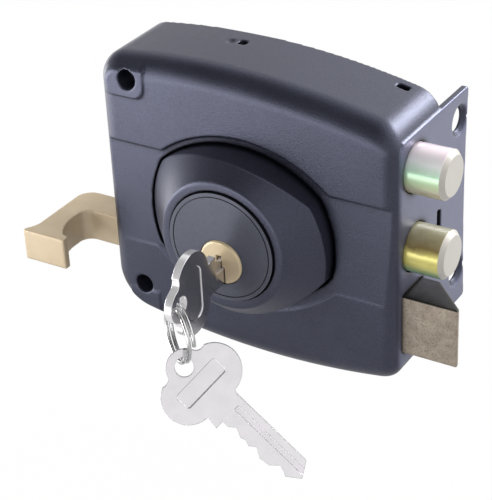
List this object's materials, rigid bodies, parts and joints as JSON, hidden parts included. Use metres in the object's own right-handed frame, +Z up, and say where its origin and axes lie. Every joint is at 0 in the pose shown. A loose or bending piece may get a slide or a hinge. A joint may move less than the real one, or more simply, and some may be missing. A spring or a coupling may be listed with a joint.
{
  "type": "surface-mounted door lock",
  "caption": "Surface-mounted lock in a cast case with two round bolts, a bevelled latch with a pull hook, a pin cylinder in a raised rose, a key in the plug and a key on a ring.",
  "frame": {"origin": "on the face that lies against the door, straight behind the centre of the round cylinder face", "axes": "+Z up, -Y out of the door towards whoever holds the key, +X the way the bolts are thrown"},
  "size_m": [0.131, 0.0931, 0.0958],
  "materials": {
    "case_paint": "fine textured powder coat",
    "bolt_zinc": "yellow zinc plate",
    "latch_zinc": "tumbled, dull yellow zinc",
    "hook_brass": "satin champagne plate",
    "plug_brass": "satin brass",
    "key_nickel": "bright nickel",
    "ring_steel": "bright wire",
    "zinc_steel": "bright zinc plate",
    "gear_steel": "sintered steel",
    "spring_steel": "drawn spring wire"
  },
  "bodies": {
    "lock_case": {"case_cover": "case_paint", "back_plate": "zinc_steel", "back_plate_screws": "zinc_steel", "face_plate": "case_paint", "wheel_axle": "zinc_steel", "latch_spring": "spring_steel", "spring_stop": "zinc_steel", "cylinder_rose": "case_paint", "rose_screws": "zinc_steel", "cylinder_body": "plug_brass", "cylinder_clip": "spring_steel", "face_disc": "case_paint", "driver_pins": "plug_brass", "chamber_caps": "plug_brass", "pin_springs": "spring_steel"},
    "plug": {"cylinder_plug": "plug_brass", "plug_washer": "plug_brass", "plug_gear": "gear_steel", "key_pins": "plug_brass"},
    "wheel": {"wheel_gear": "gear_steel"},
    "bolts": {"upper_bolt": "bolt_zinc", "lower_bolt": "bolt_zinc", "bolt_carrier": "zinc_steel", "bolt_screws": "zinc_steel"},
    "latch": {"latch_bolt": "latch_zinc", "latch_bar": "zinc_steel", "pull_hook": "hook_brass", "latch_rivets": "zinc_steel", "hook_rivets": "zinc_steel"},
    "key": {"door_key": "key_nickel"},
    "ring": {"key_ring": "ring_steel"},
    "second_key": {"spare_key": "key_nickel"}
  },
  "joints": [
    {"name": "key_turn", "type": "hinge", "parent": "lock_case", "child": "plug", "pos_m": [0, -0.0419, -0.0046], "axis": [0, 1, 0], "range_deg": [-360, 360]},
    {"name": "wheel_spin", "type": "hinge", "parent": "lock_case", "child": "wheel", "pos_m": [0, -0.006, 0.0087], "axis": [0, 1, 0], "range_deg": [-129, 129]},
    {"name": "bolt_slide", "type": "slide", "parent": "lock_case", "child": "bolts", "axis": [1, 0, 0], "range_m": [-0.011, 0.011]},
    {"name": "latch_slide", "type": "slide", "parent": "lock_case", "child": "latch", "axis": [1, 0, 0], "range_m": [-0.016, 0], "stiffness_N_per_m": 250, "springref_m": 0.008, "deforming": ["latch_spring"]},
    {"name": "key_withdraw", "type": "slide", "parent": "plug", "child": "key", "axis": [0, -1, 0], "range_m": [0, 0.028]},
    {"name": "ring_swing", "type": "hinge", "parent": "key", "child": "ring", "pos_m": [0, -0.0634, -0.00615], "axis": [1, 0, 0], "range_deg": [-12, 12]},
    {"name": "second_key_swing", "type": "hinge", "parent": "ring", "child": "second_key", "pos_m": [0.0032, -0.0671, -0.0228], "axis": [0.466, -0.7279, 0.503], "range_deg": [-60, 20]}
  ],
  "couplings": [
    {"joint": "key_turn", "follows": "bolt_slide", "rad_per_m": -571.43},
    {"joint": "wheel_spin", "follows": "bolt_slide", "rad_per_m": 204.08}
  ]
}
